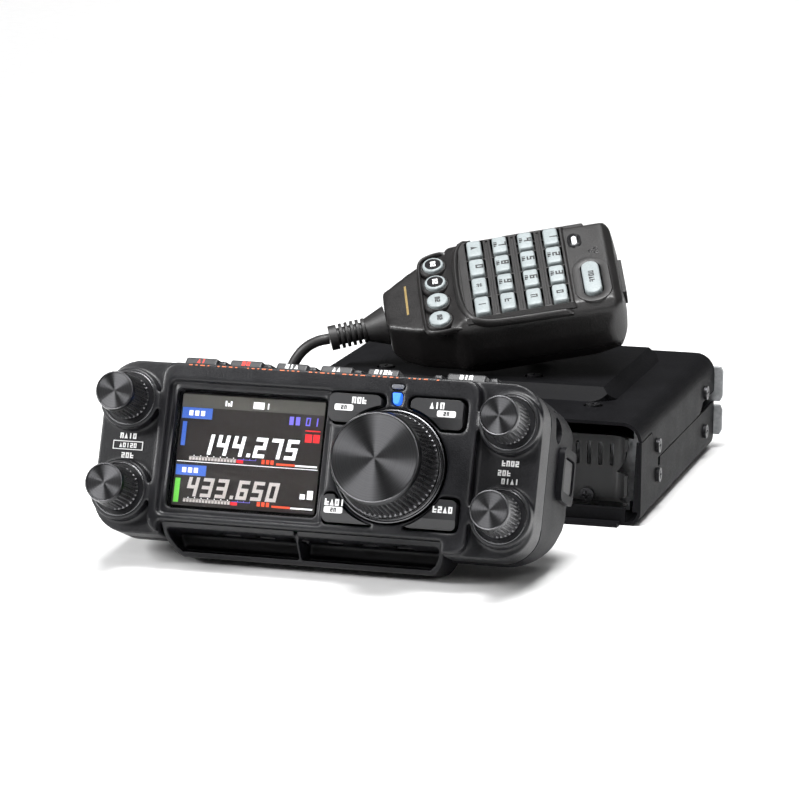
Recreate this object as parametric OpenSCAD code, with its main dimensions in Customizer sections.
/* [Main unit] */
// Width of the main unit over its covers
body_w = 139; // [136:1:144]
// Depth of the main unit's covers
body_d = 132; // [130:1:138]
// Height of the flat part of the top cover
body_h = 37; // [36:0.5:39]
// Rise of the embossed pad above the flat top
pad_rise = 4.7; // [4:0.1:5.5]
// Thickness of the steel covers
sheet_t = 1.2; // [1:0.1:1.4]
// Outside radius of the long top edges
top_edge_r = 7.4; // [6:0.2:8]
// Outside radius of the long bottom edges
bottom_edge_r = 5; // [4:0.5:6]
// Height of the seam between the two covers
seam_z = 18.4; // [17:0.2:20]
// Radius of the antenna socket's threaded barrel
antenna_r = 7.9; // [7.5:0.1:8.2]
// Radius of an external speaker jack's hole
speaker_jack_r = 1.8; // [1.75:0.05:1.9]

/* [Control head] */
// Width of the control head
head_w = 152; // [150:1:156]
// Height of the control head's panel
head_h = 58.5; // [57:0.5:60]
// Depth of the head's cases behind the panel
head_d = 47; // [46:0.5:50]
// How far the panel leans back from upright, in degrees
head_tilt = 21.2; // [18:0.2:24]
// Distance from the head's centre line to a small knob
knob_x = 65.7; // [65:0.1:66]
// Distance from the head's mid height to a small knob
knob_y = 15.4; // [15:0.1:16]
// Radius of a small knob's grip
knob_r = 7.3; // [7:0.1:7.6]
// Radius of the main dial's grip
dial_r = 17.2; // [16.5:0.1:17.5]
// Width of the lit display
screen_w = 49.2; // [48:0.2:50]
// Height of the lit display
screen_h = 36.9; // [36:0.1:37.5]
// Radius of the bracket holes in the head's sides
side_hole_r = 4.4; // [4:0.1:4.6]

/* [Hand microphone] */
// Length of the microphone's case
mic_l = 88; // [86:1:92]
// Width of the microphone's case
mic_w = 52; // [50:1:54]
// Pitch of the keypad along the microphone
key_pitch_l = 9.5; // [9.4:0.1:9.7]
// Pitch of the keypad across the microphone
key_pitch_w = 10.6; // [10.5:0.1:10.8]
// Diameter of the microphone's cord
cord_d = 4; // [3.8:0.1:4.2]

/* [Travel and fits] */
// Running clearance between a knob and its bushing, on the radius
run_gap = 0.05; // [0.02:0.01:0.1]
// Clearance around a key in its opening
key_gap = 0.35; // [0.3:0.05:0.45]

/* [Hidden] */
$fn = 64;
eps = 0.01;

// ---- Main unit, derived sizes ----
half_w = body_w / 2;
half_d = body_d / 2;
tab_h = 30;                      // top of the lower cover's front tabs
tab_back = -half_d + 17;         // where the tab's slope starts
tab_foot = -half_d + 28.5;       // where the tab's slope meets the seam
seam_gap = 0.4;
rear_step_y = half_d - 27;       // where the upper cover's edge steps up
rear_step_z = seam_z + 4;
recess_d = 8.5;                  // how deep the front plate lies in its opening
plate_y = -half_d + recess_d;
pad_x = [-57, 52];               // left and right foot of the embossed pad
pad_y = [-35, 52];               // front and back foot of the embossed pad
pad_slope = 4.6;                 // how far the pad's sides lean in
pad_corner_r = 9;
chassis_w = body_w - 2 * sheet_t - 3.6;
chassis_y = [-half_d + 17, half_d - 13];
chassis_wall = 3.5;
side_screws = [[-40.2, 23.8], [-39, 12.8], [half_d - 19, 25.5], [half_d - 19, 10.5]];
top_screws = [[46.1, -40.8, 0], [-51.1, -40.8, 0], [18.8, -18.5, 1], [-37.4, -18.5, 1]];
screw_hole_r = 1.6;
screw_shank_r = 1.4;
screw_head_r = 2.6;
slot_count = 13;
slot_pitch = 4.13;
slot_first_x = 57;
slot_z = [19.2, 27.6];
plate_screws = [[48.3, 8.3], [-54, 8.3]];
mic_jack_x = -44;
head_jack_x = -24;
front_jack_z = 14;
jack_w = 15;
jack_h = 13;
jack_l = 14;
mouth_w = 11.9;
mouth_h = 8.6;
mouth_l = 11;
fan_pos = [-18, 19];             // centre of the fan on the rear panel
fan_size = 30;
fan_t = 9;
fan_y = half_d - 1.2;            // back face of the fan's frame
rotor_r = 12.6;
rotor_hub_r = 6.5;
blade_count = 7;
antenna_pos = [46, 19];
dc_pos = [16, 21];
rear_jack_x = [-44, -54];
data_jack_x = 4;

// ---- Control head, derived sizes ----
head_pos = [-20.6, -162.2, 39.8];
half_hw = head_w / 2;
half_hh = head_h / 2;
shell_t = 2;
front_depth = 14;                // depth of the front case
column_drop = 2;                 // how far the knob columns lie behind the panel
raised_w = 110;                  // width of the raised middle of the panel
raised_top = 2.4;                // its height above the display glass
boss_r = 10.3;
boss_top = 2.8;
head_corner_r = 12;
screen_x = -23.1;
dial_pos = [27, -1.6];
collar_r = 19;
collar_top = 4;
dial_base = 4.4;
dial_top = 22;
dial_cap_r = 14;
knob_base = 3.4;
knob_top = 17.8;
knob_cap_r = 6.5;
shaft_r = 3;
key_pocket_r = collar_r + 1.4;   // radius of the dial keys' inner arcs
key_top = 3.6;
top_key_x = [-44.5, -28.7, -12.6, 3, 19.2, 47.7];
top_key_w = [11.6, 11.6, 11.2, 11.4, 11.2, 13.6];
ridge_x = [-36.4, -20.5, -4.7, 11, 38.6, 57.6];
knob_places = [[-knob_x, knob_y], [-knob_x, -knob_y], [knob_x, knob_y], [knob_x, -knob_y]];
card_place = [4.5, -38];         // height and depth of the card slot's middle on the right side
card_size = [15, 22];
side_hole_place = [18.1, -25.5];
horn_x = [-51, 46.5];
horn_lip = [-34.9, -12.6];       // height and depth of the horn's lip
horn_belly = [-33.1, -24.6];     // height and depth where the horn touches the ground
horn_corner_r = 10;
horn_rib_x = -4;
mouth_v = -24.6;                 // height of the notch that the horn fills in the cases
mouth_w0 = -20.8;                // and its depth

// ---- Microphone, derived sizes ----
mic_pos = [10, -10.7, 77.8];
mic_turn = [30.6, -9.8, 15.6];
mic_top_u = 37.5;
mic_end_u = mic_top_u - mic_l;
mic_wide_u = -28;                // where the wide end meets the cord end
half_mw = mic_w / 2;
parting_w = -19.6;
back_w = -29.4;
mic_key_size = [6.2, 9.4];
program_key_u = -30.2;
program_key_r = 3.9;
mute_place = [26.5, -9.8];
mute_size = [6.4, 17.6];
lamp_place = [22.6, 13.1];
button_place = [5, 0];
boot_start = [mic_end_u, -0.6, -14];
boot_bend = 6;
boot_l = 21.5;
rocker_pivot = [35.5, -12];
ptt_u = [-4, 27];
ptt_w = [-16, -4.6];

// ---- Microphone cord, in the main frame ----
cord_r = cord_d / 2;
cord_sides = 8;
cord_route_a = [
    [-57.4, -24.7, 52.2], [-62, -26.4, 51.1], [-66.4, -27.6, 48.2], [-69.8, -28.1, 43.6],
    [-72, -28, 38.4], [-73.2, -27.4, 32.5], [-74, -26.5, 26], [-75.2, -24.6, 19.5],
    [-77.4, -21.6, 13], [-80, -17, 7.5], [-82.2, -11, 4.2], [-83, -5, 3.2]
];
coil_pos = [-104, 0, 0];
coil_ring_r = 23;
coil_h = 10;
coil_w = 12;
plug_l = 21;
plug_front = plate_y + 9.5;      // how far the plug's nose goes into its jack
plug_tail = plug_front - plug_l - 9;
cord_route_b = [
    [mic_jack_x, plug_tail, front_jack_z], [mic_jack_x - 0.4, plug_tail - 5, 13.2],
    [mic_jack_x - 2, plug_tail - 10, 10.8], [mic_jack_x - 5.5, plug_tail - 14, 7.4],
    [mic_jack_x - 11, plug_tail - 16, 4.2], [mic_jack_x - 18, plug_tail - 15, 2.4],
    [-70, -90, 2.1], [-77, -82, 2.1], [-84, -72, 2.1], [-90, -60, 2.1], [-94, -49, 2.2],
    [-97, -39, 2.8], [-101, -31, 3.8], [-107, -26, 4.8]
];

// ==== Shared shapes ====

// Rounded rectangle centred on the origin, with true arcs
module rounded_rect(w, h, r) {
    square([w - 2 * r, h], center = true);
    square([w, h - 2 * r], center = true);
    for (sx = [-1, 1], sy = [-1, 1])
        translate([sx * (w / 2 - r), sy * (h / 2 - r)]) circle(r);
}

module rounded_box(w, h, r, z0, z1) {
    translate([0, 0, z0]) linear_extrude(z1 - z0) rounded_rect(w, h, r);
}

// A stadium: a slot with round ends along Y
module stadium(w, h) {
    square([w, h - w], center = true);
    for (s = [-1, 1]) translate([0, s * (h - w) / 2]) circle(w / 2);
}

// Extrude a YZ outline along X from x0 to x1
module along_x(x0, x1) {
    translate([x0, 0, 0]) rotate([90, 0, 90]) linear_extrude(x1 - x0) children();
}

// Extrude an XZ outline along Y from y0 to y1
module along_y(y0, y1) {
    translate([0, y1, 0]) rotate([90, 0, 0]) linear_extrude(y1 - y0) children();
}

module place_head() {
    translate(head_pos) rotate([90 - head_tilt, 0, 0]) children();
}

module place_mic() {
    translate(mic_pos) rotate(mic_turn) children();
}

// A screw lying along +Z with its head's face at z = 0
module screw(length, head_r = screw_head_r, shank_r = screw_shank_r) {
    difference() {
        union() {
            translate([0, 0, -1.3]) cylinder(r = head_r, h = 1.3);
            translate([0, 0, -length]) cylinder(r = shank_r, h = length - 1);
        }
        for (a = [0, 90])
            rotate(a) translate([-1.6, -0.35, -0.8]) cube([3.2, 0.7, 2]);
    }
}

// Points of a closed tube swept along a route, and the tube itself
function unit(v) = v / norm(v);
function route_step(r, i) = unit(r[min(i + 1, len(r) - 1)] - r[max(i - 1, 0)]);
function side_axis(t) = unit(cross(t, abs(t.z) > 0.9 ? [0, 1, 0] : [0, 0, 1]));
function first_sides(r) = [for (i = [0 : len(r) - 1]) side_axis(route_step(r, i))];
function ring(c, t, s, rad) = let (n = cross(s, t))
    [for (k = [0 : cord_sides - 1]) let (a = 360 * k / cord_sides)
        c + rad * (cos(a) * s + sin(a) * n)];

module tube(route, rad) {
    sides = first_sides(route);
    rings = [for (i = [0 : len(route) - 1]) each ring(route[i], route_step(route, i), sides[i], rad)];
    last = len(route) - 1;
    walls = [for (i = [0 : last - 1], k = [0 : cord_sides - 1])
        let (a = i * cord_sides, b = (k + 1) % cord_sides)
        [a + k, a + b, a + b + cord_sides, a + k + cord_sides]];
    caps = [[for (k = [cord_sides - 1 : -1 : 0]) k],
            [for (k = [0 : cord_sides - 1]) last * cord_sides + k]];
    polyhedron(rings, concat(walls, caps), convexity = 6);
}

// ==== Main unit ====

// Outline of the covers in the XZ plane, taken in by t
module body_outline(t = 0) {
    w = half_w - t;
    rt = top_edge_r - t;
    rb = bottom_edge_r - t;
    top = body_h - t;
    translate([-w, t + rb]) square([2 * w, top - rt - t - rb]);
    translate([-w + rt, t + rb]) square([2 * (w - rt), top - t - rb]);
    translate([-w + rb, t]) square([2 * (w - rb), body_h / 2]);
    for (s = [-1, 1]) {
        translate([s * (w - rt), top - rt]) circle(rt);
        translate([s * (w - rb), t + rb]) circle(rb);
    }
}

// Side view of the part of the wrap that the upper cover takes
module upper_side() {
    polygon([
        [-half_d, tab_h + seam_gap], [tab_back, tab_h + seam_gap], [tab_foot, seam_z + seam_gap],
        [rear_step_y, seam_z + seam_gap], [rear_step_y + 5, rear_step_z],
        [half_d, rear_step_z], [half_d, body_h + 1], [-half_d, body_h + 1]
    ]);
}

module lower_side() {
    polygon([
        [-half_d, tab_h], [tab_back, tab_h], [tab_foot, seam_z + 0.6],
        [tab_foot, seam_z - 3], [tab_foot + 3.4, seam_z - 3], [tab_foot + 3.4, seam_z],
        [half_d, seam_z], [half_d, -1], [-half_d, -1]
    ]);
}

module cover_wrap() {
    difference() {
        along_y(-half_d, half_d) body_outline();
        along_y(-half_d - 1, half_d + 1) body_outline(sheet_t);
    }
}

// The pad: two crossed trapezoids, with rounded corners in plan
module pad_block(drop = 0) {
    h = body_h + pad_rise - drop;
    base = body_h - 2 * sheet_t - 2;
    lean = pad_slope * (h - base) / pad_rise;
    grow = lean - pad_slope - drop;
    intersection() {
        along_y(pad_y[0] - 20, pad_y[1] + 20) polygon([
            [pad_x[0] - grow, base], [pad_x[1] + grow, base],
            [pad_x[1] + grow - lean, h], [pad_x[0] - grow + lean, h]]);
        along_x(pad_x[0] - 20, pad_x[1] + 20) polygon([
            [pad_y[0] - grow, base], [pad_y[1] + grow, base],
            [pad_y[1] + grow - lean, h], [pad_y[0] - grow + lean, h]]);
        translate([(pad_x[0] + pad_x[1]) / 2, (pad_y[0] + pad_y[1]) / 2, 0])
            rounded_box(pad_x[1] - pad_x[0], pad_y[1] - pad_y[0], pad_corner_r, base, h);
    }
}

module side_screw_holes(r) {
    for (p = side_screws) translate([-half_w - 1, p.x, p.y])
        rotate([0, 90, 0]) cylinder(r = r, h = body_w + 2);
}

module top_cover() {
    color("#26272a") difference() {
        union() {
            intersection() {
                cover_wrap();
                along_x(-half_w - 1, half_w + 1) upper_side();
            }
            intersection() {
                pad_block();
                translate([-half_w, -half_d, body_h - sheet_t]) cube([body_w, body_d, 20]);
            }
        }
        pad_block(sheet_t);
        side_screw_holes(screw_hole_r);
        for (p = top_screws) translate([p.x, p.y, 0]) {
            z = body_h + p.z * pad_rise;
            translate([0, 0, z - 4]) cylinder(r = screw_hole_r, h = 10);
            translate([0, 0, z - 0.7]) cylinder(r = screw_head_r + 0.9, h = 5);
        }
    }
}

module bottom_cover() {
    flange = 1.2;
    color("#26272a") {
        difference() {
            union() {
                intersection() {
                    cover_wrap();
                    along_x(-half_w - 1, half_w + 1) lower_side();
                }
                translate([-62, -half_d - 4.2, 0]) cube([124, 6, 1.5]);
                translate([-64, -half_d, 1]) cube([128, flange, 5.2]);
                for (s = [-1, 1]) along_y(-half_d, -half_d + flange)
                    polygon([[s * (half_w - 0.6), 5], [s * (half_w - 3), 5],
                        [s * (half_w - 1.9), tab_h], [s * (half_w - sheet_t - 0.1), tab_h],
                        [s * (half_w - sheet_t - 0.1), seam_z - 0.3], [s * (half_w - 0.6), seam_z - 0.3]]);
            }
            side_screw_holes(screw_hole_r);
        }
    }
}

module chassis() {
    inner = chassis_w / 2 - chassis_wall;
    y0 = chassis_y[0];
    y1 = chassis_y[1];
    color("#9c9ea1") difference() {
        union() {
            translate([-62, y0, sheet_t + 0.3]) cube([124, y1 - y0, 4]);
            for (s = [-1, 1]) translate([s > 0 ? inner : -inner - chassis_wall, y0, 5])
                cube([chassis_wall, y1 - y0, 25.5]);
            translate([-inner - 1, y0, 5]) cube([2 * inner + 2, 3, 22.5]);
            for (x = [-48 : 8 : 48]) translate([x - 0.8, y0 + 8, 5]) cube([1.6, y1 - y0 - 26, 8]);
            for (sx = [-1, 1], y = [-30, 30]) translate([sx * 48, y, 2]) cylinder(r = 3.4, h = 11.4);
        }
        side_screw_holes(1.5);
        for (x = [mic_jack_x, head_jack_x]) translate([x - jack_w / 2 - 0.5, y0 - 1, 3])
            cube([jack_w + 1, 6, 30]);
        for (i = [0 : slot_count - 1]) translate([slot_first_x - i * slot_pitch - 0.75, y0 - 1, slot_z[0]])
            cube([1.5, 5, 7]);
        for (sx = [-1, 1], y = [-30, 30]) translate([sx * 48, y, 6])
            cylinder(r = screw_hole_r, h = 12);
    }
}

module front_plate() {
    t = 1.2;
    bend_r = 7;
    edge_x = 57;
    color("#1b1c1e") difference() {
        swept_front(t, bend_r, edge_x);
        for (i = [0 : slot_count - 1]) translate([slot_first_x - i * slot_pitch, plate_y - 2, 0])
            along_y(0, 5) translate([0, (slot_z[0] + slot_z[1]) / 2])
                stadium(1.5, slot_z[1] - slot_z[0]);
        for (s = [-1, 1]) {
            along_y(-half_d - 1, plate_y + 3) polygon([
                [s * 59, 17.2], [s * 62.4, 21.6], [s * 63.4, 26], [s * 70, 28], [s * 70, 17.2]]);
            along_y(-half_d - 1, plate_y + 3) polygon([[s * 60, 7.4], [s * 70, 7.4], [s * 70, 14]]);
        }
        for (p = plate_screws) translate([p.x, plate_y - 3, p.y])
            rotate([-90, 0, 0]) cylinder(r = screw_hole_r, h = 6);
        for (x = [mic_jack_x, head_jack_x])
            translate([x - jack_w / 2, plate_y - 2, front_jack_z - jack_h / 2]) cube([jack_w, 5, jack_h]);
    }
}

// The front plate's plan: flat in the middle, each end swept forward on an arc
module swept_front(t, bend_r, edge_x) {
    translate([0, 0, 6.4]) linear_extrude(23.8) {
        translate([-edge_x, plate_y]) square([2 * edge_x, t]);
        for (s = [-1, 1]) {
            intersection() {
                translate([s * edge_x, plate_y - bend_r + t]) difference() {
                    circle(bend_r);
                    circle(bend_r - t);
                }
                translate([s > 0 ? edge_x : -edge_x - 2 * bend_r, plate_y - bend_r + t])
                    square([2 * bend_r, bend_r + 1]);
            }
        }
    }
}

module rear_panel() {
    t = 1.5;
    ear = 3.3;
    color("#26272a") difference() {
        union() {
            along_y(half_d, half_d + t) body_outline(0.4);
            for (s = [-1, 1], z = [[18.4, 32], [5.4, 17]]) along_y(half_d, half_d + t)
                polygon([[s * (half_w - 2), z[0]], [s * (half_w + ear - 1), z[0]],
                    [s * (half_w + ear), z[0] + 2], [s * (half_w + ear), z[1] - 2],
                    [s * (half_w + ear - 1), z[1]], [s * (half_w - 2), z[1]]]);
        }
        translate([fan_pos.x, half_d - 1, fan_pos.y]) rotate([-90, 0, 0]) cylinder(r = 13.4, h = 5);
        translate([antenna_pos.x, half_d - 1, antenna_pos.y]) rotate([-90, 0, 0]) cylinder(r = 6.2, h = 5);
        translate([dc_pos.x - 8, half_d - 1, dc_pos.y - 5.5]) cube([16, 5, 11]);
        for (x = rear_jack_x) translate([x, half_d - 1, 14]) rotate([-90, 0, 0]) cylinder(r = 3.4, h = 5);
        translate([data_jack_x, half_d - 1, 8.5]) rotate([-90, 0, 0]) cylinder(r = 4.9, h = 5);
        for (sx = [-1, 1]) translate([sx * 60, half_d - 1, 30]) rotate([-90, 0, 0])
            cylinder(r = screw_hole_r, h = 5);
    }
}

module main_board() {
    color("#1f5a3c") difference() {
        union() {
            translate([-60, chassis_y[0] + 18, 13.5]) cube([120, 74, 1.6]);
            translate([-50, -25, 15.1]) cube([30, 26, 3.4]);
            translate([6, -28, 15.1]) cube([16, 16, 1.8]);
            translate([20, 8, 15.1]) cube([20, 26, 5]);
            for (x = [-46, -36, -26]) translate([x, 22, 15.1]) cylinder(r = 4, h = 8);
        }
        for (sx = [-1, 1], y = [-30, 30]) translate([sx * 48, y, 0]) cylinder(r = screw_hole_r, h = 30);
    }
}

module body_speaker() {
    translate([-2, 4, 0]) color("#3a3a3d") {
        translate([0, 0, 33.4]) rotate_extrude() polygon([
            [0, -7], [8, -7], [8, -3], [17.5, 0], [17.5, 2], [15, 2], [7, -1], [0, -1]]);
    }
}

module fan_frame() {
    y0 = fan_y - fan_t;
    color("#1d1d1f") difference() {
        translate([fan_pos.x, 0, fan_pos.y]) along_y(y0, fan_y) rounded_rect(fan_size, fan_size, 2);
        translate([fan_pos.x, y0 + 1.4, fan_pos.y]) rotate([-90, 0, 0]) cylinder(r = rotor_r + 0.6, h = fan_t + 2);
        for (a = [45 : 90 : 315]) translate([fan_pos.x, y0 - 1, fan_pos.y]) rotate([-90, 0, 0])
            rotate(a) translate([8.6, 0, 0]) cylinder(r = 3.4, h = 3);
    }
    color("#1d1d1f") translate([fan_pos.x, y0 + 1, fan_pos.y]) rotate([-90, 0, 0])
        cylinder(r = 1.5, h = fan_t - 3.4);
}

module fan_rotor() {
    y0 = fan_y - fan_t + 1.8;
    color("#2a2b2e") translate([fan_pos.x, y0, fan_pos.y]) rotate([-90, 0, 0]) difference() {
        union() {
            cylinder(r = rotor_hub_r, h = fan_t - 2.6);
            for (i = [0 : blade_count - 1]) rotate(i * 360 / blade_count)
                translate([rotor_hub_r - 0.6, 0, 0.6]) rotate([38, 0, 0])
                    cube([rotor_r - rotor_hub_r + 0.2, 0.9, 6.2]);
        }
        translate([0, 0, -1]) cylinder(r = 1.5 + run_gap, h = fan_t - 2.8);
    }
}

module antenna_socket() {
    color("#c9cacb") translate([antenna_pos.x, half_d - 4, antenna_pos.y]) rotate([-90, 0, 0]) difference() {
        union() {
            cylinder(r = 6, h = 6);
            translate([0, 0, 5.5]) linear_extrude(1.6) rounded_rect(23, 23, 2);
            translate([0, 0, 7]) cylinder(r = antenna_r, h = 16);
        }
        translate([0, 0, 9]) cylinder(r = 5.6, h = 20);
    }
    color("#d8c27a") translate([antenna_pos.x, half_d + 4, antenna_pos.y]) rotate([-90, 0, 0])
        difference() {
            cylinder(r = 3, h = 13);
            translate([0, 0, 3]) cylinder(r = 2, h = 12);
        }
}

module dc_inlet() {
    color("#d9d6cb") translate([dc_pos.x, 0, dc_pos.y]) difference() {
        union() {
            along_y(half_d - 7, half_d + 9) rounded_rect(15, 10, 1.5);
            along_y(half_d + 1.5, half_d + 3) rounded_rect(19, 14, 2);
        }
        along_y(half_d - 3, half_d + 10) rounded_rect(12, 7, 1);
    }
    color("#c9b26a") for (x = [-3, 3]) translate([dc_pos.x + x, half_d - 4, dc_pos.y]) rotate([-90, 0, 0])
        cylinder(r = 1.1, h = 5);
}

module rear_jacks() {
    color("#202124") for (x = rear_jack_x) translate([x, half_d - 9, 14]) rotate([-90, 0, 0]) difference() {
        union() {
            translate([-3.5, -3.5, 0]) cube([7, 7, 8.5]);
            cylinder(r = 3.2, h = 12);
        }
        translate([0, 0, 1.5]) cylinder(r = speaker_jack_r, h = 20);
    }
    color("#202124") translate([data_jack_x, half_d - 8, 8.5]) rotate([-90, 0, 0]) difference() {
        cylinder(r = 4.7, h = 10.5);
        translate([0, 0, 3]) cylinder(r = 3.7, h = 20);
    }
}

module jack_socket(x) {
    translate([x, 0, front_jack_z]) difference() {
        along_y(plate_y + 0.2, plate_y + jack_l) rounded_rect(jack_w - 0.4, jack_h - 0.4, 0.8);
        along_y(plate_y - 1, plate_y + mouth_l) rounded_rect(mouth_w, mouth_h, 0.4);
        translate([0, 0, -mouth_h / 2 - 1]) along_y(plate_y - 1, plate_y + mouth_l)
            rounded_rect(6.4, 3, 0.4);
    }
}

module front_jacks() {
    color("#17181a") for (x = [mic_jack_x, head_jack_x]) jack_socket(x);
}

module case_screws() {
    color("#3c3d40") {
        for (s = [-1, 1], p = side_screws) translate([s * (half_w + 1.3), p.x, p.y])
            rotate([0, s * 90, 0]) screw(5.6);
        for (p = top_screws) translate([p.x, p.y, body_h + p.z * pad_rise + 0.6]) screw(4.4);
        for (p = plate_screws) translate([p.x, plate_y - 1.3, p.y]) rotate([90, 0, 0]) screw(4);
        for (sx = [-1, 1]) translate([sx * 60, half_d + 2.8, 30]) rotate([-90, 0, 0]) screw(4);
        for (sx = [-1, 1], y = [-30, 30]) translate([sx * 48, y, 16.4]) screw(5);
    }
}

// ==== Control head, in its own frame: X right, Y up the panel, Z out of it ====

module dial_key_outline(i, grow = 0) {
    sx = i % 2 == 0 ? -1 : 1;
    sy = i < 2 ? 1 : -1;
    x0 = [3.7, 31.4, 5.2, 32.2][i];
    x1 = [23, 50.8, 24.8, 51.6][i];
    y0 = [11.8, 11.4, -21.6, -21.6][i];
    y1 = [22, 22, -11.6, -10.8][i];
    difference() {
        translate([(x0 + x1) / 2, (y0 + y1) / 2])
            rounded_rect(x1 - x0 + 2 * grow, y1 - y0 + 2 * grow, 2.2);
        translate(dial_pos) circle(key_pocket_r - grow);
    }
}

module head_outline(grow = 0) {
    rounded_rect(head_w + 2 * grow, head_h + 2 * grow, head_corner_r);
}

module horn_notch() {
    along_x(horn_x[0] - 0.2, horn_x[1] + 0.2) polygon([
        [mouth_v, 5], [mouth_v, mouth_w0], [-half_hh - 5, mouth_w0], [-half_hh - 5, 5]]);
}

module head_front_case() {
    color("#26272b") place_head() difference() {
        union() {
            translate([0, 0, -front_depth]) linear_extrude(front_depth - column_drop) head_outline();
            rounded_box(raised_w, head_h - 1, 5, -front_depth, raised_top);
            for (p = knob_places) translate([p.x, p.y, -4]) cylinder(r = boss_r, h = 4 + boss_top);
            for (x = ridge_x) translate([x - 1.5, half_hh - 1, -12]) cube([3, 2.6, 9]);
        }
        // hollow behind the panel
        rounded_box(head_w - 2 * shell_t, head_h - 2 * shell_t, head_corner_r - shell_t,
            -front_depth - 1, -column_drop - 2.2);
        // display opening with leaning walls
        translate([screen_x, 0, 0]) {
            rounded_box(screen_w + 3.2, screen_h + 3.2, 1.5, -8, 3);
            rounded_box(screen_w + 6, screen_h + 6, 2, 1.2, 4);
        }
        // dial hole and pockets of the four keys
        translate([dial_pos.x, dial_pos.y, -10]) cylinder(r = 5.2, h = 20);
        translate([dial_pos.x, dial_pos.y, -0.2]) cylinder(r = collar_r + 0.2, h = 5);
        for (i = [0 : 3]) translate([0, 0, -8]) linear_extrude(20) dial_key_outline(i, key_gap);
        for (i = [0 : 5]) translate([top_key_x[i] - top_key_w[i] / 2 - key_gap, half_hh - 6, -12.2])
            cube([top_key_w[i] + 2 * key_gap, 10, 8.6]);
        for (p = knob_places) translate([p.x, p.y, -10]) cylinder(r = 4.2, h = 20);
        translate([dial_pos.x, 25, 0]) rounded_box(4.6, 1.9, 0.6, -6, 5);
        translate([dial_pos.x, 21, 0]) rounded_box(3.4, 4.2, 0.4, -6, 5);
        horn_notch();
    }
}

// Side view of the rear case in the head's frame: full height in front, cut up low at the back
module rear_case_side(t = 0) {
    polygon([
        [half_hh - t, -front_depth], [half_hh - 4 - t, -head_d + 4 + t], [half_hh - 8 - t, -head_d + t],
        [-9 + t, -head_d + t], [-13 + t, -44 + t], [-23 + t, -29], [-half_hh + t, -20],
        [-half_hh + t, -front_depth]
    ]);
}

module head_rear_case() {
    color("#222326") place_head() difference() {
        union() {
            intersection() {
                translate([0, 0, -head_d - 1]) linear_extrude(head_d + 1 - front_depth) head_outline();
                along_x(-half_hw, half_hw) rear_case_side();
            }
            // raised collar around the card slot
            intersection() {
                translate([half_hw - 1, card_place.x, card_place.y]) rotate([90, 0, 90])
                    linear_extrude(3) rounded_rect(card_size.x + 3, card_size.y - 3.4, 3);
                along_x(0, half_hw + 5) rear_case_side(0.2);
            }
        }
        intersection() {
            translate([0, 0, -head_d]) linear_extrude(head_d + 1 - front_depth)
                rounded_rect(head_w - 2 * shell_t, head_h - 2 * shell_t, head_corner_r - shell_t);
            along_x(-half_hw + shell_t, half_hw - shell_t) union() {
                rear_case_side(shell_t);
                translate([-half_hh + shell_t, -front_depth - eps]) square([head_h - 2 * shell_t, 3]);
            }
        }
        translate([half_hw - 6, card_place.x, card_place.y]) rotate([90, 0, 90]) linear_extrude(12)
            rounded_rect(card_size.x - 3, card_size.y - 8, 2);
        for (s = [-1, 1]) translate([s * (half_hw - 7), side_hole_place.x, side_hole_place.y])
            rotate([0, s * 90, 0]) cylinder(r = side_hole_r, h = 12);
        horn_notch();
        for (x = [-18, 18]) translate([x, 4, -head_d - 2]) cylinder(r = screw_hole_r, h = 6);
        translate([40, 2, -head_d - 1]) linear_extrude(5) square([13, 10], center = true);
    }
    // threaded sleeves of the side holes
    color("#b9a25a") place_head() for (s = [-1, 1])
        translate([s * (half_hw - shell_t), side_hole_place.x, side_hole_place.y])
            rotate([0, -s * 90, 0]) difference() {
                cylinder(r = 6.4, h = 7);
                translate([0, 0, -1]) cylinder(r = side_hole_r, h = 9);
            }
}

module display_panel() {
    color("#0c1622") place_head() translate([screen_x, 0, 0])
        rounded_box(screen_w + 5, screen_h + 5, 1, -7.4, -4.4);
    color("#0c1622") place_head() translate([screen_x, 0, 0])
        rounded_box(screen_w + 1, screen_h + 1, 0.6, -4.5, -1.4);
}

module display_window() {
    color("#10151c") place_head() translate([screen_x, 0, 0])
        rounded_box(screen_w + 2.8, screen_h + 2.8, 1.3, -1.3, 0);
}

// Front view of the horn: a boat shape whose rim lies level with the panel's lower edge
module horn_front(t = 0) {
    r = horn_corner_r - t;
    mid = (horn_x[0] + horn_x[1]) / 2;
    half = (horn_x[1] - horn_x[0]) / 2 - t;
    low = horn_lip.x - 1 + t;
    translate([mid, 0, 0]) {
        for (s = [-1, 1]) translate([s * (half - r), low + r]) circle(r);
        translate([-half + r, low]) square([2 * (half - r), r + 1]);
        translate([-half, low + r]) square([2 * half, 20]);
    }
}

// A box-shaped duct open at its slanted front, with slots in its ceiling for the sound
module speaker_horn() {
    t = 1.6;
    roof = mouth_v - 0.1;
    color("#242528") place_head() difference() {
        intersection() {
            translate([0, 0, -40]) linear_extrude(50) horn_front();
            along_x(horn_x[0] - 1, horn_x[1] + 1) polygon([
                [roof, -0.6], horn_lip, horn_belly, [-24.8, -27.2], [-28.9, -21.3],
                [-28.9, mouth_w0 + 0.1], [roof, mouth_w0 + 0.1]]);
        }
        difference() {
            intersection() {
                translate([0, 0, -40]) linear_extrude(60) horn_front(t);
                along_x(horn_x[0] - 1, horn_x[1] + 1) polygon([
                    [roof - t, 6], [roof - t, mouth_w0 + t], [-30.5, mouth_w0 + t], [-31.6, -22.6],
                    horn_lip + [t, 0], horn_lip + [t, 20]]);
            }
            along_x(horn_rib_x - 0.8, horn_rib_x + 0.8) square([80, 40], center = true);
        }
        along_x(horn_rib_x - 1, horn_rib_x + 1) polygon([[-40, -9], [-40, 2], [-20, 2], [-20, -2]]);
        for (x = [-30 : 12 : 30]) translate([x - 3, roof - t - 1, -17]) cube([6, 4, 8]);
    }
}

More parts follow.
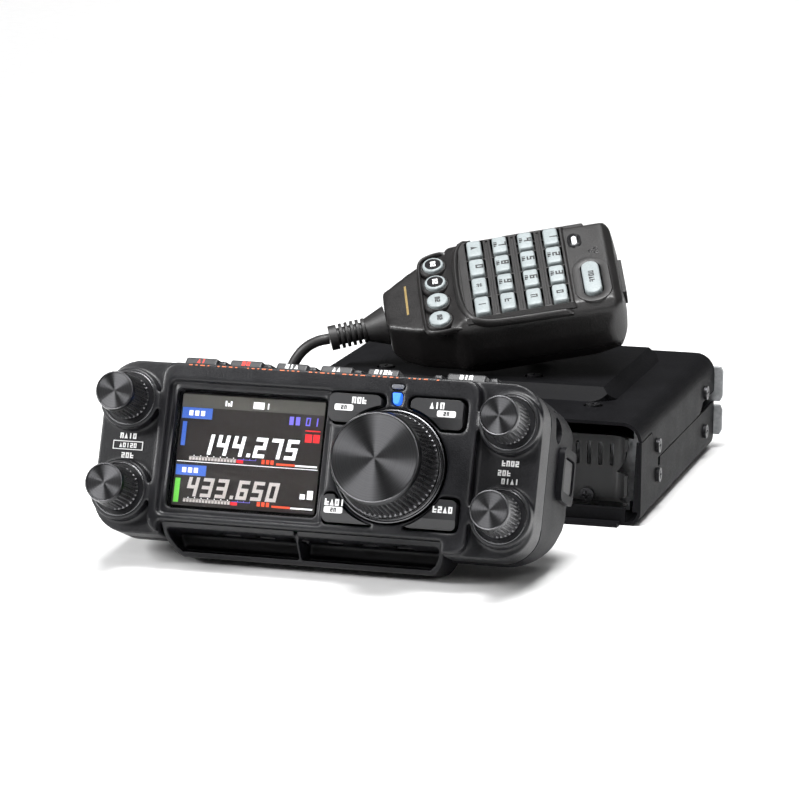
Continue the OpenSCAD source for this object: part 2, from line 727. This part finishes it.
module head_speaker() {
    color("#3a3a3d") place_head() translate([-40, 3, -38]) rotate_extrude()
        polygon([[0, -3], [9, -3], [9, 1], [17, 7], [17, 9], [15, 9], [7, 4], [0, 4]]);
}

module head_board() {
    color("#1f5a3c") place_head() difference() {
        union() {
            translate([-70, -24, -12.8]) cube([140, 48, 1.4]);
            translate([-4, -14, -17]) cube([26, 22, 4.3]);
            translate([44, -6, -24]) cube([24, 16, 1.2]);
            translate([46, -2, -23]) cube([4, 8, 11]);
        }
        for (p = concat(knob_places, [dial_pos])) translate([p.x, p.y, -20]) cylinder(r = 1.5, h = 20);
    }
}

module encoders() {
    color("#8c8e92") place_head() for (i = [0 : 4]) {
        p = concat(knob_places, [dial_pos])[i];
        top = i == 4 ? dial_top - 5 : knob_top - 5;
        translate([p.x, p.y, 0]) {
            rounded_box(10, 10, 1, -11.3, -5.2);
            translate([0, 0, -5.3]) cylinder(r = 3.8, h = 5);
            translate([0, 0, -1]) cylinder(r = shaft_r, h = top + 1);
        }
    }
}

module dial_collar() {
    color("#1c1d20") place_head() translate([dial_pos.x, dial_pos.y, 0]) difference() {
        union() {
            translate([0, 0, -0.2]) cylinder(r = collar_r, h = collar_top - 0.8);
            translate([0, 0, collar_top - 1.2]) cylinder(r = collar_r - 0.8, h = 1.2);
        }
        translate([0, 0, -1]) cylinder(r = 5, h = 10);
    }
}

module indicator_light() {
    color("#2a7ae0") place_head() {
        translate([dial_pos.x, 21, 0]) rounded_box(3.1, 3.9, 0.4, -4.6, 3.1);
        translate([dial_pos.x, 25, 0]) rounded_box(4.3, 1.6, 0.5, -4.6, 2.7);
        translate([dial_pos.x - 2, 19.2, -5.8]) cube([4, 6.4, 1.4]);
    }
}

module head_screws() {
    color("#3c3d40") place_head() for (x = [-18, 18])
        translate([x, 4, -head_d - 3.5]) rotate([180, 0, 0]) screw(6);
}

// A point given by height v and depth w in the head's frame, as [y, z] in the main frame
function head_yz(v, w) = [
    head_pos.y + v * sin(head_tilt) - w * cos(head_tilt),
    head_pos.z + v * cos(head_tilt) + w * sin(head_tilt)
];

module head_bracket() {
    t = 2;
    w0 = -head_d - 0.1;
    front_top = head_yz(10, w0);
    back_top = head_yz(10, w0 - t);
    back_low = head_yz(-7, w0 - t);
    front_low = head_yz(-7, w0);
    foot_y = back_low.x + 2;
    foot_l = 14;
    color("#1c1d1f") difference() {
        translate([head_pos.x, 0, 0]) along_x(-26, 26) polygon([
            front_top, back_top, back_low, [foot_y, t + 2], [foot_y, t], [foot_y + foot_l, t],
            [foot_y + foot_l, 0], [foot_y - t, 0], [foot_y - t, t + 2], front_low]);
        place_head() for (x = [-18, 18]) translate([x, 4, -head_d - 6]) cylinder(r = screw_hole_r, h = 10);
    }
}

module turned_knob(grip_r, cap_r, base, top) {
    difference() {
        rotate_extrude() polygon([
            [0, base], [grip_r - 0.6, base], [grip_r, base + 0.6], [grip_r, top - 3],
            [cap_r + 0.35, top - 0.6], [cap_r, top], [0, top]]);
        translate([0, 0, base - 1]) cylinder(r = shaft_r + run_gap, h = top - base - 3.8);
        translate([0, 0, base - 1]) cylinder(r = grip_r - 2, h = 3.5);
    }
}

module small_knob(i) {
    color("#1e1f22") place_head() translate([knob_places[i].x, knob_places[i].y, 0])
        turned_knob(knob_r, knob_cap_r, knob_base, knob_top);
}

module knob_lower_left() { small_knob(1); }
module knob_upper_left() { small_knob(0); }
module knob_upper_right() { small_knob(2); }
module knob_lower_right() { small_knob(3); }

module main_dial() {
    color("#1e1f22") place_head() translate([dial_pos.x, dial_pos.y, 0])
        turned_knob(dial_r, dial_cap_r, dial_base, dial_top);
}

module dial_key(i) {
    color("#2a2b2f") place_head() {
        translate([0, 0, -2.6]) linear_extrude(key_top + 2.6) dial_key_outline(i);
    }
}

module dial_key_upper_left() { dial_key(0); }
module dial_key_upper_right() { dial_key(1); }
module dial_key_lower_left() { dial_key(2); }
module dial_key_lower_right() { dial_key(3); }

module top_key(i) {
    color("#2c2d31") place_head() translate([top_key_x[i] - top_key_w[i] / 2, half_hh - 3.4, -11.8])
        cube([top_key_w[i], 4.8, 7.8]);
}

module top_key_1() { top_key(0); }
module top_key_2() { top_key(1); }
module top_key_3() { top_key(2); }
module top_key_4() { top_key(3); }
module top_key_5() { top_key(4); }
module top_key_6() { top_key(5); }

module card_cover() {
    color("#1a1b1d") place_head() translate([half_hw + 0.4, card_place.x, card_place.y])
        rotate([90, 0, 90]) union() {
            linear_extrude(1) rounded_rect(card_size.x - 3.8, card_size.y - 8.8, 1.6);
            translate([0, 0, -3]) linear_extrude(3.4) rounded_rect(card_size.x - 5.4, card_size.y - 10.4, 1);
        }
}

// ==== Hand microphone, in its own frame: X to its top end, Y across, Z out of its face ====

// An outline's points drawn in by t on both axes, towards a centre
function inset(points, t, centre) =
    [for (p = points) [p.x - t * sign(p.x - centre.x), p.y - t * sign(p.y - centre.y)]];
function mirrored(points) =
    concat(points, [for (i = [len(points) - 1 : -1 : 0]) [-points[i].x, points[i].y]]);

// The wide end: what its plan, side and end views have in common
module mic_wide_end(t) {
    intersection() {
        translate([(mic_top_u + mic_wide_u) / 2, 0, 0])
            rounded_box(mic_top_u - mic_wide_u - 2 * t, mic_w - 2 * t, 10 - t, -40, 5);
        along_y(-40, 40) polygon(inset([
            [-22, 0], [33.5, 0], [36.3, -3], [mic_top_u, -12], [36.7, -18], [34.1, -22.4], [19.5, back_w],
            [-10, back_w], [-24, -22.4], [mic_wide_u, -18], [mic_wide_u, -12], [-26, -3]], t, [5, -15]));
        along_x(-60, 60) polygon(inset(mirrored([
            [21, 0], [24.4, -3], [half_mw, -12], [25.6, -18], [21.6, -26.2], [9, back_w]]), t, [0, -15]));
    }
}

// The cord end, tapering towards the boot
module mic_neck(t) {
    intersection() {
        rotate(90) translate([0, 0, -40]) linear_extrude(45) polygon(inset(mirrored([
            [22.3, 16], [21.8, 24], [16.8, 39], [9.6, -mic_end_u]]), t, [0, 20]));
        along_y(-40, 40) polygon(inset([
            [-14, -1.6], [-23, -1.8], [-37, -4.3], [mic_end_u, -6.8], [mic_end_u, -19.5],
            [-46, -23.6], [-14, -24.2]], t, [-30, -15]));
    }
}

// The whole microphone body, drawn in by the shell's thickness when hollowed
module mic_solid(t = 0) {
    mic_wide_end(t);
    mic_neck(t);
}

// Places its children at the cord end's face, with Z along the boot
module place_boot() {
    place_mic() translate(boot_start) rotate([0, 0, boot_bend]) rotate([0, -90, 0]) children();
}

// What is cut off the cases at the boot: the end face and the spigot's hole
module boot_cut() {
    translate([-30, -30, 0]) cube([60, 60, 20]);
    translate([0, 0, -8]) cylinder(r = 3.3, h = 10);
}

module mic_slab(w0, w1) {
    translate([-80, -60, w0]) cube([160, 120, w1 - w0]);
}

module mic_openings() {
    for (i = [0 : 3], j = [0 : 3])
        translate([(1.5 - i) * key_pitch_l, (1.5 - j) * key_pitch_w, 0])
            rounded_box(mic_key_size.x + 2 * key_gap, mic_key_size.y + 2 * key_gap, 1, -4, 5);
    for (j = [0 : 3]) translate([program_key_u, (1.32 - j) * 10, -9])
        cylinder(r = program_key_r + key_gap, h = 20);
    translate([mute_place.x, mute_place.y, -9]) linear_extrude(20)
        stadium(mute_size.x + 2 * key_gap, mute_size.y + 2 * key_gap);
    translate([lamp_place.x, lamp_place.y, -9]) linear_extrude(20) stadium(2.4, 5.2);
    for (d = [[-0.8, 0], [1.2, 1], [1.2, -1]]) translate([28.6 + d.x, 6 + d.y, -9]) cylinder(r = 0.45, h = 20);
    translate([ptt_u[0] - 0.4, half_mw - 6, ptt_w[0] - 0.4])
        cube([ptt_u[1] - ptt_u[0] + 0.8, 12, ptt_w[1] - ptt_w[0] + 0.8]);
    translate([mic_top_u - 6, -9.4, -15.4]) cube([12, 18.8, 6.8]);
}

module mic_front_case() {
    color("#262321") difference() {
        place_mic() difference() {
            intersection() {
                mic_solid();
                mic_slab(parting_w, 5);
            }
            intersection() {
                mic_solid(2);
                mic_slab(parting_w - 1, -2.4);
            }
            mic_openings();
        }
        place_boot() boot_cut();
    }
}

module mic_rear_case() {
    color("#262321") difference() {
        place_mic() difference() {
            intersection() {
                mic_solid();
                mic_slab(-40, parting_w - 0.1);
            }
            intersection() {
                mic_solid(2);
                mic_slab(-40, parting_w + 1);
            }
            translate([button_place.x, button_place.y, -40]) cylinder(r = 1.7, h = 20);
        }
        place_boot() boot_cut();
    }
}

module mic_board() {
    color("#1f5a3c") place_mic() {
        translate([-20, -17.5, -11]) cube([48, 35, 1.4]);
        translate([-34, -11, -11]) cube([14, 22, 1.4]);
        translate([-2, -9, -14.4]) cube([14, 14, 3.5]);
    }
}

module mic_capsule() {
    color("#9a9b9e") place_mic() translate([28.4, 8, -6.4]) cylinder(r = 3, h = 3.4);
}

module mic_lamp_window() {
    color("#d6d8da") place_mic() translate([lamp_place.x, lamp_place.y, -4.4])
        linear_extrude(4.2) stadium(2.2, 5);
}

module hanger_button() {
    color("#8d8f92") place_mic() translate([button_place.x, button_place.y, 0]) {
        translate([0, 0, back_w - 9.7]) cylinder(r = 6.5, h = 3);
        translate([0, 0, back_w - 6.8]) cylinder(r = 4, h = 6.8);
        translate([0, 0, back_w - 0.1]) cylinder(r = 1.6, h = 4.4);
    }
}

module cord_boot() {
    neck_l = 8;
    rib_l = 2.1;
    rib_count = 6;
    color("#232021") place_boot() {
        translate([0, 0, -5]) cylinder(r = 3.2, h = 6);
        translate([0, 0, -5]) cylinder(r = 4.8, h = 1.6);
        cylinder(r1 = 7.4, r2 = 4.2, h = neck_l);
        cylinder(r = 3.2, h = boot_l);
        for (i = [0 : rib_count - 1]) translate([0, 0, neck_l + i * rib_l])
            cylinder(r = 4.6, h = rib_l * 0.55);
        translate([0, 0, boot_l - 2.2]) cylinder(r = 4.6, h = 2.2);
    }
}

module mic_keys_row(i) {
    color("#c9cccd") place_mic() {
        for (j = [0 : 3]) translate([(1.5 - i) * key_pitch_l, (1.5 - j) * key_pitch_w, 0])
            rounded_box(mic_key_size.x, mic_key_size.y, 0.9, -3.6, 1.5);
        translate([(1.5 - i) * key_pitch_l - 2.8, -2 * key_pitch_w + 1.6, -4.6])
            cube([5.6, 4 * key_pitch_w - 3.2, 1.1]);
    }
}

module mic_keys_row_1() { mic_keys_row(0); }
module mic_keys_row_2() { mic_keys_row(1); }
module mic_keys_row_3() { mic_keys_row(2); }
module mic_keys_row_4() { mic_keys_row(3); }

module mic_program_keys() {
    color("#c9cccd") place_mic() {
        for (j = [0 : 3]) translate([program_key_u, (1.32 - j) * 10, -6]) cylinder(r = program_key_r, h = 4.8);
        translate([program_key_u - 2.4, -16, -8.4]) cube([4.8, 28.4, 2.6]);
    }
}

module mute_key() {
    color("#c9cccd") place_mic() translate([mute_place.x, mute_place.y, -3.8])
        linear_extrude(4.8) stadium(mute_size.x, mute_size.y);
}

module talk_bar() {
    color("#1f1d1c") place_mic() {
        translate([ptt_u[0], half_mw - 4, ptt_w[0]]) cube([ptt_u[1] - ptt_u[0], 6.4, ptt_w[1] - ptt_w[0]]);
    }
}

module scan_rocker() {
    color("#1f1d1c") place_mic() difference() {
        translate([mic_top_u - 4, -9, -15]) cube([5, 18, 6]);
        translate([rocker_pivot.x, 0, rocker_pivot.y]) cylinder(r = 1, h = 20, center = true);
    }
}

// ==== Microphone cord ====

module mic_cord() {
    color("#1b1a1a") tube(cord_route_a, cord_r);
    color("#1b1a1a") tube(cord_route_b, cord_r);
}

module cord_coil() {
    color("#1b1a1a") translate(coil_pos) rotate_extrude()
        translate([coil_ring_r, coil_h / 2]) rounded_rect(coil_w, coil_h - 0.2, 3);
}

module mic_plug() {
    color("#2a2b2d") translate([mic_jack_x, 0, front_jack_z]) {
        along_y(plug_front - plug_l, plug_front) rounded_rect(mouth_w - 0.4, mouth_h - 0.9, 0.6);
        translate([0, plug_front - plug_l, 0]) rotate([90, 0, 0]) cylinder(r1 = 3.8, r2 = 2.6, h = 9);
    }
}

chassis();
top_cover();
bottom_cover();
front_plate();
rear_panel();
main_board();
body_speaker();
fan_frame();
fan_rotor();
antenna_socket();
dc_inlet();
rear_jacks();
front_jacks();
case_screws();
head_front_case();
head_rear_case();
display_panel();
display_window();
speaker_horn();
head_speaker();
head_board();
encoders();
dial_collar();
indicator_light();
head_bracket();
head_screws();
main_dial();
knob_upper_left();
knob_lower_left();
knob_upper_right();
knob_lower_right();
dial_key_upper_left();
dial_key_upper_right();
dial_key_lower_left();
dial_key_lower_right();
top_key_1();
top_key_2();
top_key_3();
top_key_4();
top_key_5();
top_key_6();
card_cover();
mic_front_case();
mic_rear_case();
mic_board();
mic_capsule();
mic_lamp_window();
hanger_button();
cord_boot();
mic_keys_row_1();
mic_keys_row_2();
mic_keys_row_3();
mic_keys_row_4();
mic_program_keys();
mute_key();
talk_bar();
scan_rocker();
mic_cord();
cord_coil();
mic_plug();
